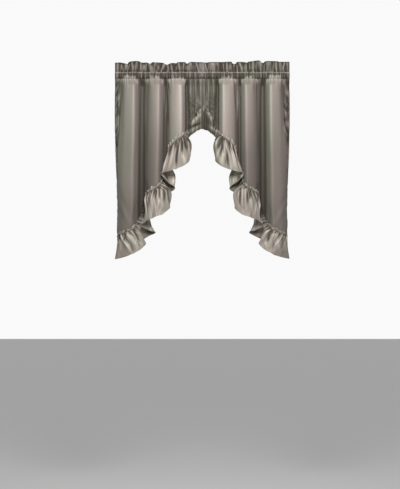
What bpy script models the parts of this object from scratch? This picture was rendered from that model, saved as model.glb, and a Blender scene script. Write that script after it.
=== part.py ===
"""Pair of ruffled window swags with gathered rod-pocket headings.

Metres, +Z up, the room side is -Y. X runs along the window, with 0 where the
two halves meet, and Z is 0 at the top edge of the header. Both halves hang in
the same folds, mirrored, so one table gives a half from the centre outward.
"""

import bpy
import bmesh
import numpy as np

MM = 0.001

# Driving sizes
HALF_WIDTH = 404 * MM
HEADER_HEIGHT = 48.5 * MM
POCKET_HEIGHT = 29.0 * MM
POCKET_DEPTH = 30.0 * MM
CLOTH = 1.5 * MM
FIN = 2.6 * MM
GAP = 0.3 * MM
SEAM_GAP = 0.5 * MM
SEAM_LOOK_BACK = 4 * MM
CENTRE_GAP = 0.6 * MM

# The pocket's walls: how square their curve is, and the levels from top to bottom at its corners
POCKET_SQUARENESS = 2.6
WALL_LEVELS = (0.0, 0.18, 0.82, 1.0)
# How much further the header sways than its foot, at its top edge, and its levels up from the foot
HEADER_SWAY = 0.4
HEADER_LEVELS = (0.5, 1.0)

# How the cloth passes from even gathers at the pocket into its broad folds
PANEL_TOP = HEADER_HEIGHT + POCKET_HEIGHT + GAP
LAYOUT_HELD = 0.45
LAYOUT_REACH = 55 * MM
FOLD_REACH = 20 * MM
LOW_LEVEL = 700 * MM
# The outer side swells this much below the pocket, over this length and from this station
SIDE_SWELL = 3 * MM
SWELL_LENGTH = 520 * MM
SIDE_PLACE = 32
GATHER = 4.0 * MM
POCKET_PLEATS = 0.5
GATHER_REACH = 90 * MM
# The gathers' height wanders by this share, this fast from station to station
GATHER_WANDER = 0.2
WANDER_RATE = 1.7

# How the ruffle leaves the seam and flares
PUFF = 0.55
SOFTENING = 4
AWAY_PULL = 0.75
HEM_PULL = 0.55
# The greatest value of r * (1 - r) ** 2, so that a belly is as wide as its row says.
BELLY_PEAK = 4 / 27
PLEAT = 3.5 * MM
PLEAT_STEEPNESS = 0.24
CENTRE_REACH = 75 * MM
RUFFLE_PLEATS = 1
# Where the ruffle's pleats reach their full height, and what is left of them at the hem
PLEAT_START = 0.2
PLEAT_AT_HEM = 0.3

# Grid steps, for each station and down the cloth, and how much the rows crowd to the panel's top
HEADING_STEPS = 2
CLOTH_STEPS = 3
PANEL_ROWS = 9
PANEL_CROWDING = 1.9
RUFFLE_ROWS = 6

# One row for each crest, wall and hollow of the folds, from the centre edge to
# the outer edge, in millimetres. top and low are the distance from the centre
# near the pocket and near the bottom, depth is negative toward the room, edge
# is the seam's height below the top, the hem columns place the ruffle's free
# edge below that station, and belly is how far it swells toward the centre.
COLUMNS = ("name", "top", "low", "depth", "edge", "hem_out", "hem_depth", "hem_drop", "belly")
STATIONS = (
    ("centre edge", 0, 0, 14, 205, 0, 10, 311, 0),
    ("centre pleat 1", 10, 10, 6, 210, 8, 2, 312, 0),
    ("centre hollow 1", 19, 19, 16, 219, 15, 13, 315, 0),
    ("centre pleat 2", 29, 29, 7, 231, 24, 1, 319, 0),
    ("centre hollow 2", 40, 40, 18, 246, 33, 13, 325, 0),
    ("centre pleat 3", 52, 51, 9, 266, 43, 2, 333, 0),
    ("recess", 67, 65, 20, 300, 53, 13, 341, 0),
    ("inner column foot", 79, 77, 17, 326, 71, 20, 366, 0),
    ("inner column side", 82, 80, -16, 340, 74, 4, 420, 16),
    ("inner column crest", 88, 87, -36, 343, 58, -30, 455, 20),
    ("inner column front 1", 98, 98, -41, 351, 80, -54, 481, 8),
    ("inner column front 2", 126, 126, -35, 371, 118, -64, 498, 0),
    ("inner column turn", 149, 150, -18, 399, 158, -60, 510, 0),
    ("inner hollow wall", 156, 157, 6, 426, 188, -46, 520, 0),
    ("inner hollow 1", 168, 170, 20, 462, 164, -22, 554, 18),
    ("inner hollow 2", 178, 181, 18, 497, 126, -4, 584, 26),
    ("inner hollow end", 182, 187, 6, 530, 156, 14, 609, 10),
    ("middle column side", 186, 191, -15, 558, 184, 20, 640, 10),
    ("middle column crest", 192, 196, -36, 569, 156, -4, 668, 30),
    ("middle column front 1", 203, 207, -40, 582, 150, -34, 680, 24),
    ("middle column front 2", 228, 232, -34, 597, 180, -56, 705, 8),
    ("middle column turn", 246, 250, -16, 612, 218, -64, 720, 0),
    ("outer hollow wall", 253, 257, 8, 632, 258, -58, 737, 0),
    ("outer hollow 1", 266, 268, 20, 664, 279, -42, 760, 16),
    ("outer hollow 2", 282, 283, 21, 698, 252, -20, 778, 26),
    ("outer hollow end", 297, 300, 10, 734, 217, -2, 791, 22),
    ("outer column side", 302, 307, -14, 757, 258, 14, 814, 4),
    ("outer column crest", 307, 312, -36, 766, 286, 10, 834, 14),
    ("outer column front 1", 317, 323, -40, 778, 260, -16, 840, 14),
    ("outer column front 2", 343, 351, -35, 790, 282, -46, 866, 4),
    ("outer column front 3", 360, 370, -27, 799, 316, -58, 886, 0),
    ("outer column turn", 369, 386, -9, 804, 348, -54, 900, 2),
    ("side wall", 376, 390, 8, 807, 374, -40, 907, 5),
    ("side strip", 388, 393, 17, 809, 392, -28, 911, 7),
    ("outer edge", 404, 395, 24, 810, 403, -14, 913, 9),
)

# The header's uneven top edge: distance from the centre and rise over the
# nominal edge, in millimetres. Its notches differ between the halves.
HEADER_TOPS = {
    "left": (
        (0, -2), (35, -1), (48, 0), (58, -2), (65, -7), (73, -8), (78, -2), (86, -1), (106, -1),
        (114, -2), (121, -7), (130, -5), (145, -6), (154, -10), (163, -14), (173, -10), (181, -5),
        (198, -3), (217, -3), (230, -1), (235, -5), (242, -10), (249, -6), (256, -3), (276, -4),
        (284, -3), (292, 3), (307, 4), (322, 3), (335, 1), (341, -2), (346, -11), (362, -6),
        (380, -3), (404, -4),
    ),
    "right": (
        (0, -3), (26, -3), (32, -1), (100, -1), (106, 0), (135, 1), (141, -8), (149, -11),
        (155, -8), (159, -1), (175, 0), (193, -1), (207, -4), (214, 1), (235, 3), (244, 5),
        (263, 7), (270, 2), (276, -5), (283, -5), (289, 1), (300, 4), (346, 3), (356, 0), (404, 0),
    ),
}

COLOURS = {
    "heading": (0.27, 0.235, 0.20),
    "panel": (0.31, 0.275, 0.235),
    "ruffle": (0.36, 0.32, 0.275),
}
SATIN_ROUGHNESS = 0.42


def column(name):
    """One column of the station table, in metres."""
    index = COLUMNS.index(name)
    return np.array([row[index] for row in STATIONS], dtype=float) * MM


def smooth_through(values, u):
    """Catmull-Rom curve through values, read at the real-valued stations u."""
    last = len(values) - 1
    i = np.clip(np.floor(u).astype(int), 0, last - 1)
    t = u - i
    before = values[np.clip(i - 1, 0, last)]
    start = values[i]
    end = values[i + 1]
    after = values[np.clip(i + 2, 0, last)]
    return 0.5 * (
        2 * start
        + (end - before) * t
        + (2 * before - 5 * start + 4 * end - after) * t**2
        + (3 * start - before - 3 * end + after) * t**3
    )


def ease(x):
    """Smooth step from 0 to 1 as x goes from 0 to 1."""
    x = np.clip(x, 0.0, 1.0)
    return x * x * (3 - 2 * x)


def stations(steps):
    """The grid's columns, with this many steps from one station to the next."""
    last = len(STATIONS) - 1
    return np.linspace(0, last, last * steps + 1)


def gather_wave(u, pleats):
    """Small pleats of the gathering thread, so many for each station."""
    tall = 1 - GATHER_WANDER + GATHER_WANDER * np.sin(WANDER_RATE * u)
    return np.cos(2 * np.pi * pleats * u) * tall


def top_layout(u):
    """Distance from the centre along the pocket, between even gathers and the folds."""
    plan = np.stack([column("low"), column("depth")], axis=1)
    steps = np.linalg.norm(np.diff(plan, axis=0), axis=1)
    cloth = np.concatenate([[0.0], np.cumsum(steps)])
    even = smooth_through(cloth, u) / cloth[-1] * HALF_WIDTH
    return even * (1 - LAYOUT_HELD) + smooth_through(column("top"), u) * LAYOUT_HELD


def panel_points(u, drop):
    """Points of one half panel at stations u and at distances drop below the top edge."""
    below = drop - PANEL_TOP
    layout = ease(below / LAYOUT_REACH)
    lower = ease(below / (LOW_LEVEL - PANEL_TOP))
    top = smooth_through(column("top"), u)
    low = smooth_through(column("low"), u)
    out = top_layout(u) * (1 - layout) + (top * (1 - lower) + low * lower) * layout
    swell = np.sin(np.pi * np.clip(below / SWELL_LENGTH, 0, 1))
    out = out + SIDE_SWELL * swell * ease((u - SIDE_PLACE) / 2)
    folds = smooth_through(column("depth"), u) * ease(below / FOLD_REACH)
    return np.stack([out, folds, -drop], axis=-1)


def panel_grid():
    """Grid of a half panel: rows down the cloth, columns from the centre outward."""
    u = stations(CLOTH_STEPS)
    edge = smooth_through(column("edge"), u)
    shares = np.linspace(0, 1, PANEL_ROWS) ** PANEL_CROWDING
    drops = [PANEL_TOP + (edge - PANEL_TOP) * share for share in shares]
    grid = np.stack([panel_points(u, drop) for drop in drops])
    fade = np.stack([1 - ease((drop - PANEL_TOP) / GATHER_REACH) for drop in drops])
    wave = GATHER * gather_wave(u, POCKET_PLEATS) * fade
    normals = grid_normals(grid)
    normals[0, :, 2] = 0
    return grid + normals * wave[..., None]


def unit(vectors):
    """Vectors brought to length 1."""
    return vectors / np.linalg.norm(vectors, axis=-1, keepdims=True)


def softened(vectors):
    """Vectors along a row, each blended with its neighbours."""
    for _ in range(SOFTENING):
        padded = np.concatenate([vectors[:1], vectors, vectors[-1:]])
        vectors = (padded[:-2] + 2 * vectors + padded[2:]) / 4
    return vectors


def seam_curve(u):
    """The panel's lower edge, the way its cloth leads on past it, and its back side there."""
    edge = smooth_through(column("edge"), u)
    seam = panel_points(u, edge)
    down = unit(seam - panel_points(u, edge - SEAM_LOOK_BACK))
    along = unit(np.gradient(seam, axis=0))
    back = unit(np.cross(along, down))
    away = unit(np.cross(back, along))
    return seam, away, back


def ruffle_grid():
    """Grid of a half ruffle, from the seam to its hem, flared and pleated."""
    u = stations(CLOTH_STEPS)
    seam, away, back = seam_curve(u)
    root = seam + away * SEAM_GAP
    hem = np.stack(
        [
            smooth_through(column("hem_out"), u),
            smooth_through(column("hem_depth"), u),
            -smooth_through(column("hem_drop"), u),
        ],
        axis=-1,
    )
    span = np.linalg.norm(hem - root, axis=-1, keepdims=True)
    leave = softened(away * AWAY_PULL - back * PUFF) * span
    leave[:, 0] *= ease(seam[:, 0] / CENTRE_REACH)
    arrive = (hem - root) * HEM_PULL
    grid = []
    shares = np.linspace(0, 1, RUFFLE_ROWS)
    for r in shares:
        point = (
            root * (2 * r**3 - 3 * r**2 + 1)
            + leave * (r**3 - 2 * r**2 + r)
            + hem * (3 * r**2 - 2 * r**3)
            + arrive * (r**3 - r**2)
        )
        point[:, 0] -= smooth_through(column("belly"), u) * r * (1 - r) ** 2 / BELLY_PEAK
        grid.append(point)
    grid = np.stack(grid)
    loss = (1 - PLEAT_AT_HEM) * ease((shares - PLEAT_START) / (1 - PLEAT_START))
    fade = ease(shares / PLEAT_START) * (1 - loss)
    room = np.linalg.norm(np.gradient(seam, u, axis=0), axis=-1)
    height = np.minimum(PLEAT, room * PLEAT_STEEPNESS) * ease(seam[:, 0] / CENTRE_REACH)
    wave = gather_wave(u, RUFFLE_PLEATS) * height * fade[:, None]
    grid += grid_normals(grid) * wave[..., None]
    grid[:, 0, 0] = 0
    return grid


def placed(points, side):
    """Half-width coordinates turned into X for the left or the right half."""
    sign = -1 if side == "left" else 1
    result = points.copy()
    result[..., 0] = sign * (points[..., 0] + CENTRE_GAP / 2)
    return result


def grid_normals(grid):
    """Unit normals of a grid of points."""
    along = np.gradient(grid, axis=1)
    down = np.gradient(grid, axis=0)
    return unit(np.cross(along, down))


def panel_normals(grid, side):
    """Normals of the panel, upright along the pocket and square to the seam."""
    normals = grid_normals(grid)
    normals[0, :, 2] = 0
    normals[-1] = seam_normals(side)
    return normals


def ruffle_normals(grid, side):
    """Normals of the ruffle, which follow the panel's along the seam."""
    normals = grid_normals(grid)
    normals[0] = seam_normals(side)
    return normals


def seam_normals(side):
    """The panel's back side along the seam, on the left or the right half."""
    back = seam_curve(stations(CLOTH_STEPS))[2]
    mirror = -1 if side == "left" else 1
    # Mirroring turns the grid's own normals round, so these turn with them.
    return back * np.array([1, mirror, mirror])


def sheet(name, grid, normals, thickness):
    """Closed sheet of even thickness over a grid of points."""
    rows, columns = grid.shape[:2]
    offset = normals * thickness / 2
    # The inner edges of the two halves stay parallel, so that they don't touch.
    offset[:, 0, 0] = 0
    front = (grid + offset).reshape(-1, 3)
    back = (grid - offset).reshape(-1, 3)
    count = rows * columns
    faces = []
    for i in range(rows - 1):
        for j in range(columns - 1):
            a = i * columns + j
            b = a + columns + 1
            # Both sides are cut along the same diagonal, so the sheet stays as thick.
            for triangle in ((a, a + 1, b), (a, b, b - 1)):
                faces.append(triangle)
                faces.append(tuple(count + k for k in reversed(triangle)))
    rim = [j for j in range(columns)]
    rim += [i * columns + columns - 1 for i in range(1, rows)]
    rim += [(rows - 1) * columns + j for j in range(columns - 2, -1, -1)]
    rim += [i * columns for i in range(rows - 2, 0, -1)]
    for pair in zip(rim, rim[1:] + rim[:1]):
        a, b = min(pair), max(pair)
        faces.append((a, b, count + b))
        faces.append((a, count + b, count + a))
    return add_object(name, np.concatenate([front, back]), faces)


def header_rise(side, out):
    """Height of the header's top edge at a distance from the centre."""
    table = np.array(HEADER_TOPS[side]) * MM
    return np.interp(out, table[:, 0], table[:, 1])


def pocket_wall(q, depth, height, shift):
    """Depth and height of a rounded wall at fractions q from its top to its bottom."""
    bulge = depth / 2 * (1 - np.abs(2 * q - 1) ** POCKET_SQUARENESS) ** (1 / POCKET_SQUARENESS)
    return bulge, shift + height * (0.5 - q)


def pocket_walls(sway, depth, height, half_tip):
    """Front and back wall of the pocket, top to bottom, swaying most where they are stitched."""
    middle = -(HEADER_HEIGHT + POCKET_HEIGHT / 2)
    bulge, levels = pocket_wall(np.array(WALL_LEVELS), depth - 2 * half_tip, height, middle)
    shifts = sway * ((levels - middle) * 2 / POCKET_HEIGHT) ** 2
    front = list(zip(shifts - bulge - half_tip, levels))
    back = list(zip(shifts + bulge + half_tip, levels))
    return front, back


def heading_section(side, out, wave):
    """Outer and inner loops of the pocket with its header, across the cloth at one place."""
    sway = GATHER * wave
    front, back = pocket_walls(sway, POCKET_DEPTH, POCKET_HEIGHT, FIN / 2)
    rise = header_rise(side, out)
    header = []
    for share in HEADER_LEVELS:
        level = -HEADER_HEIGHT + (HEADER_HEIGHT + rise) * share
        header.append((sway * (1 + HEADER_SWAY * share), level))
    header_front = [(y - FIN / 2, level) for y, level in header]
    header_back = [(y + FIN / 2, level) for y, level in header]
    outer = front[::-1] + header_front + header_back[::-1] + back
    inside = pocket_walls(sway, POCKET_DEPTH - 2 * CLOTH, POCKET_HEIGHT - 2 * CLOTH, 0)
    # The inner walls meet in one point at the top and at the bottom.
    inner = inside[0] + inside[1][2:0:-1]
    return outer, inner


def heading_mesh(name, side):
    """Gathered heading: an open pocket with a doubled header standing on it."""
    u = stations(HEADING_STEPS)
    outs = top_layout(u)
    waves = gather_wave(u, POCKET_PLEATS)
    sections = [heading_section(side, out, wave) for out, wave in zip(outs, waves)]
    outer_count = len(sections[0][0])
    inner_count = len(sections[0][1])
    ring = outer_count + inner_count
    points = []
    for out, (outer, inner) in zip(outs, sections):
        points += [(out, y, z) for y, z in outer + inner]
    faces = []
    for i in range(len(sections) - 1):
        here, there = i * ring, (i + 1) * ring
        for first, size in ((0, outer_count), (outer_count, inner_count)):
            for k in range(size):
                a, b = first + k, first + (k + 1) % size
                faces.append((here + a, here + b, there + b, there + a))
    for start in (0, (len(sections) - 1) * ring):
        faces += [tuple(start + k for k in face) for face in end_faces(outer_count)]
    return add_object(name, placed(np.array(points), side), faces)


def end_faces(outer_count):
    """Faces that close one end of the heading between its outer and inner loops."""
    # Outer loop: front wall 0-3 from bottom to top, header 4-7, back wall 8-11 from top to bottom.
    # Inner loop: front wall 0-3 from top to bottom, then back wall 4-5 from bottom to top.
    n = outer_count
    front = [(k, k + 1, n + 2 - k, n + 3 - k) for k in range(3)]
    back_inner = [n, n + 5, n + 4, n + 3]
    back = [(8 + k, 9 + k, back_inner[k + 1], back_inner[k]) for k in range(3)]
    tips = [(3, 8, n), (11, 0, n + 3)]
    header = [(3, 4, 7, 8), (4, 5, 6, 7)]
    return front + back + tips + header


def add_object(name, points, faces):
    """A named object with its own satin material, its faces pointing out."""
    mesh = bpy.data.meshes.new(name)
    mesh.from_pydata([tuple(p) for p in points], [], faces)
    shape = bmesh.new()
    shape.from_mesh(mesh)
    bmesh.ops.recalc_face_normals(shape, faces=shape.faces)
    shape.to_mesh(mesh)
    shape.free()
    mesh.shade_smooth()
    mesh.materials.append(satin(name))
    thing = bpy.data.objects.new(name, mesh)
    bpy.context.scene.collection.objects.link(thing)
    return thing


def satin(name):
    """Plain satin in the colour of that kind of piece."""
    material = bpy.data.materials.new(name + "_satin")
    material.use_nodes = True
    shader = material.node_tree.nodes["Principled BSDF"]
    shader.inputs["Base Color"].default_value = (*COLOURS[name.split("_")[0]], 1.0)
    shader.inputs["Roughness"].default_value = SATIN_ROUGHNESS
    shader.inputs["Metallic"].default_value = 0.0
    return material


def build():
    """Both halves: heading, panel and ruffle."""
    for old in list(bpy.data.objects):
        bpy.data.objects.remove(old, do_unlink=True)
    for side in ("left", "right"):
        heading_mesh(f"heading_{side}", side)
        panel = placed(panel_grid(), side)
        sheet(f"panel_{side}", panel, panel_normals(panel, side), CLOTH)
        ruffle = placed(ruffle_grid(), side)
        sheet(f"ruffle_{side}", ruffle, ruffle_normals(ruffle, side), CLOTH)


build()
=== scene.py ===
"""Looks of the ruffled window swags: gathered headings, satin panels and pleated ruffles.

Each half is worked out from the centre outward, as (distance from the centre,
depth, height), and mirrored for the left one. Metres, the room side is -Y.
"""

import math

import bpy
import numpy as np
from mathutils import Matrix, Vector


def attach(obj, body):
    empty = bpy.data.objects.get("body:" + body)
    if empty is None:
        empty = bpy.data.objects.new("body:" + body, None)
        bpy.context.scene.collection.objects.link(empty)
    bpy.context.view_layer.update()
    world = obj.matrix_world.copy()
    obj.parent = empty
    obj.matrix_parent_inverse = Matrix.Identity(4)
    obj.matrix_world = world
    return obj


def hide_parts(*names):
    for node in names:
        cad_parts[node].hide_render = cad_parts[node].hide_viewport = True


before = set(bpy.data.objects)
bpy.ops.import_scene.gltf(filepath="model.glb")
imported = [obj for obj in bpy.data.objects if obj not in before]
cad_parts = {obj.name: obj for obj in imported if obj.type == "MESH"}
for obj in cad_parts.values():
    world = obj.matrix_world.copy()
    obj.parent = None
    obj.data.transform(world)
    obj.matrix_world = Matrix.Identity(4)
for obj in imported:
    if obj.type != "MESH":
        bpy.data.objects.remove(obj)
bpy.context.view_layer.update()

MM = 0.001

# Sizes of the solids, whose folds the cloth keeps
HALF_WIDTH = 404 * MM
HEADER_HEIGHT = 48.5 * MM
POCKET_HEIGHT = 29.0 * MM
POCKET_DEPTH = 30.0 * MM
CENTRE_GAP = 0.6 * MM
PANEL_TOP = HEADER_HEIGHT + POCKET_HEIGHT + 0.3 * MM
LAYOUT_HELD = 0.8
LAYOUT_REACH = 40 * MM
FOLD_REACH = 36 * MM
SIDE_SWELL = 4.5 * MM
SWELL_LENGTH = 520 * MM
SIDE_PLACE = 32
# Places at the outer side and the length over which each comes to its low place
DRAW_PLACES = (30, 31, 33, 34)
DRAW_LENGTHS = (622 * MM, 380 * MM, 380 * MM, 622 * MM)
# The share of the columns' depth that the cloth already has at the pocket
HELD_FORWARD = 0.3
# Low on the panel the folds have gentler sides: how wide the blur, from what level, over what length
FOLD_BLUR = 7.5 * MM
GENTLE_LEVEL = 200 * MM
GENTLE_REACH = 330 * MM
GENTLE_SHARE = 0.85
LEAST_GENTLE = 0.4
# The centre's own narrow folds run out sooner
CENTRE_PLACE = 5.2
CENTRE_BLEND = 1.6
CENTRE_LEVEL = 86 * MM
CENTRE_FADE = 95 * MM
# The columns are rounder over this length below the pocket
DOME_REACH = 60 * MM
DOME_SHARE = 0.8
PUFF = 0.55
SOFTENING = 4
AWAY_PULL = 0.75
HEM_PULL = 0.55
BELLY_PEAK = 4 / 27
CENTRE_REACH = 75 * MM
SEAM_GAP = 0.5 * MM

# The folds of a half, from the centre edge to the outer edge, in millimetres
COLUMNS = ("top", "low", "depth", "edge", "hem_out", "hem_depth", "hem_drop", "belly")
STATIONS = np.array(
    (
        (0, 0, 14, 205, 0, 10, 311, 0),
        (10, 10, 6, 210, 8, 2, 312, 0),
        (19, 19, 16, 219, 15, 13, 315, 0),
        (29, 29, 7, 231, 24, 1, 319, 0),
        (40, 40, 18, 246, 33, 13, 325, 0),
        (52, 51, 9, 266, 43, 2, 333, 0),
        (67, 65, 20, 300, 53, 13, 341, 0),
        (79, 77, 17, 326, 71, 20, 366, 0),
        (82, 80, -16, 340, 74, 4, 420, 16),
        (88, 87, -36, 343, 58, -30, 455, 20),
        (98, 98, -41, 351, 80, -54, 481, 8),
        (126, 126, -35, 371, 118, -64, 498, 0),
        (149, 150, -18, 399, 158, -60, 510, 0),
        (156, 157, 6, 426, 188, -46, 520, 0),
        (168, 170, 20, 462, 164, -22, 554, 18),
        (178, 181, 18, 497, 126, -4, 584, 26),
        (182, 187, 6, 530, 156, 14, 609, 10),
        (186, 191, -15, 558, 184, 20, 640, 10),
        (192, 196, -36, 569, 156, -4, 668, 30),
        (203, 207, -40, 582, 150, -34, 680, 24),
        (228, 232, -34, 597, 180, -56, 705, 8),
        (246, 255, -16, 612, 218, -64, 720, 0),
        (253, 262, 8, 632, 258, -58, 737, 0),
        (266, 268, 20, 664, 279, -42, 760, 16),
        (282, 283, 21, 698, 252, -20, 778, 26),
        (297, 300, 10, 734, 217, -2, 791, 22),
        (302, 307, -14, 757, 258, 14, 814, 4),
        (307, 312, -36, 766, 286, 10, 834, 14),
        (317, 323, -40, 778, 260, -16, 840, 14),
        (343, 351, -35, 790, 282, -46, 866, 4),
        (360, 370, -27, 799, 316, -58, 886, 0),
        (369, 386, -9, 804, 348, -54, 900, 2),
        (376, 390, 8, 807, 374, -40, 907, 5),
        (388, 393, 17, 809, 392, -28, 911, 7),
        (404, 395, 24, 810, 403, -14, 913, 9),
    ),
    dtype=float,
)

# The header's uneven top edge: distance from the centre and rise, in millimetres
HEADER_TOPS = {
    "left": (
        (0, -2), (35, -1), (48, 0), (58, -2), (65, -7), (73, -8), (78, -2), (86, -1), (106, -1),
        (114, -2), (121, -7), (130, -5), (145, -6), (154, -10), (163, -14), (173, -10), (181, -5),
        (198, -3), (217, -3), (230, -1), (235, -5), (242, -10), (249, -6), (256, -3), (276, -4),
        (284, -3), (292, 3), (307, 4), (322, 3), (335, 1), (341, -2), (346, -11), (362, -6),
        (380, -3), (404, -4),
    ),
    "right": (
        (0, -3), (26, -3), (32, -1), (100, -1), (106, 0), (135, 1), (141, -8), (149, -11),
        (155, -8), (159, -1), (175, 0), (193, -1), (207, -4), (214, 1), (235, 3), (244, 5),
        (263, 7), (270, 2), (276, -5), (283, -5), (289, 1), (300, 4), (346, 3), (356, 0), (404, 0),
    ),
}

# Seeds of the waves in the gathers, the header, the pocket and the ruffle
GATHER_SEEDS = {"left": 11, "right": 41}
HEADER_SEEDS = {"left": 31, "right": 61}
POCKET_SEEDS = {"left": 41, "right": 71}
RUFFLE_SEEDS = {"left": 101, "right": 151}
# How much the gathers' pitch wanders
GATHER_SPREAD = 0.35

# How finely each piece is meshed, along the cloth and down it
HEADING_COLUMNS = 720
PANEL_COLUMNS = 640
PANEL_ROWS = 118
RUFFLE_COLUMNS = 760
RUFFLE_ROWS = 66
HEADING_STRIP_ROWS = 9
HEADER_ROWS = 28
POCKET_ROWS = 24
HEM_ROWS = 5
# The ruffle's narrow heading over its seam, its length below it, and its hem's thickness
RUFFLE_HEADING = 15 * MM
RUFFLE_LENGTH = 0.11
HEM_LAYER = 0.9 * MM
# How far each half reaches past the middle, and before or behind the other
OVERLAP = 3 * MM
OVERLAP_DEPTH = 1.3 * MM


def smooth_through(values, u):
    """Catmull-Rom curve through the rows of values, read at real-valued places u."""
    last = len(values) - 1
    i = np.clip(np.floor(u).astype(int), 0, last - 1)
    t = (u - i).reshape((-1,) + (1,) * (values.ndim - 1))
    before = values[np.clip(i - 1, 0, last)]
    start = values[i]
    end = values[i + 1]
    after = values[np.clip(i + 2, 0, last)]
    return 0.5 * (
        2 * start
        + (end - before) * t
        + (2 * before - 5 * start + 4 * end - after) * t**2
        + (3 * start - before - 3 * end + after) * t**3
    )


def fold_value(name, u):
    """One column of the fold table, in metres, read at places u."""
    return smooth_through(STATIONS[:, COLUMNS.index(name)] * MM, u)


def ease(x):
    """Smooth step from 0 to 1 as x goes from 0 to 1."""
    x = np.clip(x, 0.0, 1.0)
    return x * x * (3 - 2 * x)


def unit(vectors):
    """Vectors brought to length 1."""
    return vectors / np.maximum(np.linalg.norm(vectors, axis=-1, keepdims=True), 1e-12)


def grid_normals(grid):
    """Unit normals of a grid of points, toward the window."""
    return unit(np.cross(np.gradient(grid, axis=1), np.gradient(grid, axis=0)))


def wander(x, seed, size):
    """Smooth repeatable noise along x, from -1 to 1, with waves about size long."""
    values = np.random.RandomState(seed).uniform(-1, 1, 512)
    place = x / size + 20
    i = np.floor(place).astype(int)
    t = ease(place - i)
    return values[i % 512] * (1 - t) + values[(i + 1) % 512] * t


def rumple(x, y, seed, size_x, size_y):
    """Smooth repeatable noise over a surface, from -1 to 1."""
    values = np.random.RandomState(seed).uniform(-1, 1, (128, 128))
    px, py = x / size_x + 20, y / size_y + 20
    i, j = np.floor(px).astype(int), np.floor(py).astype(int)
    tx, ty = ease(px - i), ease(py - j)
    i, j = i % 128, j % 128
    ii, jj = (i + 1) % 128, (j + 1) % 128
    low = values[i, j] * (1 - tx) + values[ii, j] * tx
    high = values[i, jj] * (1 - tx) + values[ii, jj] * tx
    return low * (1 - ty) + high * ty


def gathers(s, seed, pitch):
    """Rounded gathers with sharp valleys between them, of wandering pitch and height."""
    rate = (1 + GATHER_SPREAD * wander(s, seed, 3 * pitch)) / pitch
    phase = np.cumsum(rate * np.gradient(s))
    tall = 0.72 + 0.28 * wander(s, seed + 1, 2 * pitch)
    return (1.7 * np.abs(np.cos(np.pi * phase)) ** 0.8 - 1) * tall


def cloth_measure():
    """Fine places in the fold table and the cloth's own width up to each of them."""
    u = np.linspace(0, len(STATIONS) - 1, 4000)
    path = np.stack([fold_value("low", u), fold_value("depth", u)], axis=1)
    steps = np.linalg.norm(np.diff(path, axis=0), axis=1)
    return u, np.concatenate([[0.0], np.cumsum(steps)])


FINE_U, FINE_S = cloth_measure()
CLOTH_WIDTH = FINE_S[-1]


def gentle_depth():
    """Depth of the folds at the fine places, with their sides blurred across the panel."""
    low = np.maximum.accumulate(fold_value("low", FINE_U))
    depth = fold_value("depth", FINE_U)
    even = np.linspace(0, low[-1], 2000)
    reach = int(3 * FOLD_BLUR / (even[1] - even[0]))
    kernel = np.exp(-0.5 * (np.arange(-reach, reach + 1) * 3 / reach) ** 2)
    padded = np.pad(np.interp(even, low, depth), reach, mode="edge")
    return np.interp(low, even, np.convolve(padded, kernel / kernel.sum(), mode="valid"))


GENTLE_DEPTH = gentle_depth()


def fold_depth(u, drop):
    """Depth of the folds at places u and distances drop below the top edge."""
    share = GENTLE_SHARE * ease((drop - GENTLE_LEVEL) / GENTLE_REACH)
    centre = 1 - ease((u - CENTRE_PLACE) / CENTRE_BLEND)
    share = np.maximum(share, GENTLE_SHARE * centre * ease((drop - CENTRE_LEVEL) / CENTRE_FADE))
    dome = (1 - centre) * (1 - ease((drop - PANEL_TOP) / DOME_REACH))
    share = np.maximum(np.maximum(share, DOME_SHARE * dome), LEAST_GENTLE)
    gentle = np.interp(u, FINE_U, GENTLE_DEPTH)
    return fold_value("depth", u) * (1 - share) + gentle * share


def held_forward(u):
    """How far the columns already stand out at the pocket."""
    return -np.minimum(np.interp(u, FINE_U, GENTLE_DEPTH), 0) * HELD_FORWARD


def hollow_at(u):
    """How far places in the fold table lie in a trough between two columns, from 0 to 1."""
    return hollow_of(fold_value("depth", u))


def crown_share(u):
    """How far places in the fold table lie on a column's front, from 0 to 1."""
    return ease((-fold_value("depth", u) - 16 * MM) / (16 * MM))


def hollow_of(depth):
    """How far cloth at a depth lies in a trough between two columns."""
    return 0.85 * ease((depth + 9 * MM) / (26 * MM)) + 0.4 * ease((depth - 9 * MM) / (12 * MM))


def meeting(grid, side):
    """The grid with its centre edge led past the middle, in front of or behind the other half."""
    near = 1 - ease(grid[..., 0] / (18 * MM))
    grid = grid.copy()
    grid[..., 0] -= OVERLAP * near
    grid[..., 1] += (-OVERLAP_DEPTH if side == "left" else OVERLAP_DEPTH) * near
    return grid


def calm_centre(out):
    """Share of the gathers that is left beside the centre edge, where the halves overlap."""
    return ease(out / (14 * MM))


def spaced(count):
    """Places in the fold table that lie evenly along the cloth, and the cloth's width there."""
    s = np.linspace(0, CLOTH_WIDTH, count)
    return np.interp(s, FINE_S, FINE_U), s


def top_layout(u):
    """Distance from the centre along the pocket, between even gathers and the folds."""
    even = np.interp(u, FINE_U, FINE_S) / CLOTH_WIDTH * HALF_WIDTH
    return even * (1 - LAYOUT_HELD) + fold_value("top", u) * LAYOUT_HELD


def panel_points(u, drop):
    """Points of one half panel at places u and at distances drop below the top edge."""
    below = drop - PANEL_TOP
    layout = ease(below / LAYOUT_REACH)
    lower = ease(below / np.interp(u, DRAW_PLACES, DRAW_LENGTHS))
    top = fold_value("top", u)
    low = fold_value("low", u)
    out = top_layout(u) * (1 - layout) + (top * (1 - lower) + low * lower) * layout
    swell = np.sin(np.pi * np.clip(below / SWELL_LENGTH, 0, 1))
    out = out + SIDE_SWELL * swell * ease((u - SIDE_PLACE) / 2)
    fallen = ease(below / FOLD_REACH)
    folds = fold_depth(u, drop) * fallen - held_forward(u) * (1 - fallen)
    return np.stack([out, folds, -drop], axis=-1)


# The length over which the gathers settle below the pocket
SETTLE_LENGTH = 10 * MM
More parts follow.
